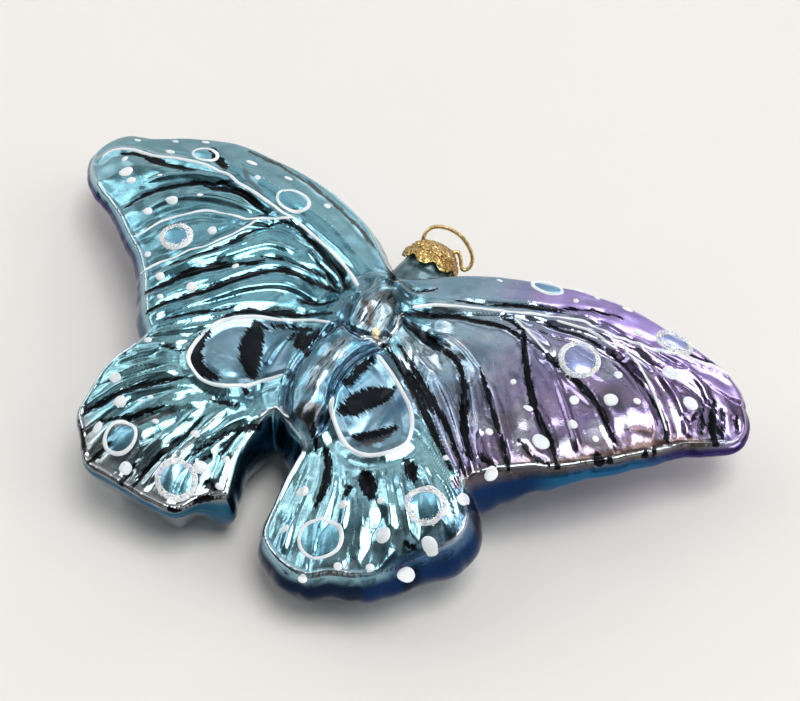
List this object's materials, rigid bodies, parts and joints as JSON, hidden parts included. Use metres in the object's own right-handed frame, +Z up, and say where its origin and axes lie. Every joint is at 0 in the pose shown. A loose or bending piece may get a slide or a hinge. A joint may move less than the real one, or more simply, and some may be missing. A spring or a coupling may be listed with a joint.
{
  "type": "butterfly ornament",
  "caption": "Hollow mould-blown glass butterfly with pleated wings, a stamped crown cap on its neck and a wire loop to hang it by.",
  "frame": {"origin": "bottom centre of the bounding box, with the ornament lying on its underside", "axes": "+X towards the right wing tip, +Y from the tail towards the neck and the hanging loop, +Z up out of the patterned side"},
  "size_m": [0.1312, 0.0744, 0.022],
  "materials": {
    "lacquered_glass": "silvered inside, translucent blue-green and violet lacquer, black brush strokes, raised white enamel",
    "gilt_cap": "stamped thin sheet, gold-coloured",
    "gilt_wire": "drawn wire, gold-coloured"
  },
  "bodies": {
    "shell": {"glass_shell": "lacquered_glass"},
    "cap": {"cap": "gilt_cap"},
    "hanger": {"hanger": "gilt_wire"}
  },
  "joints": [
    {"name": "cap_turn", "type": "hinge", "parent": "shell", "child": "cap", "pos_m": [0.00193, 0.03081, 0.01136], "axis": [0, 0.8387, 0.5446], "continuous": true},
    {"name": "hanger_slide", "type": "slide", "parent": "cap", "child": "hanger", "axis": [0, 0.8387, 0.5446], "range_m": [0, 0.003]}
  ]
}
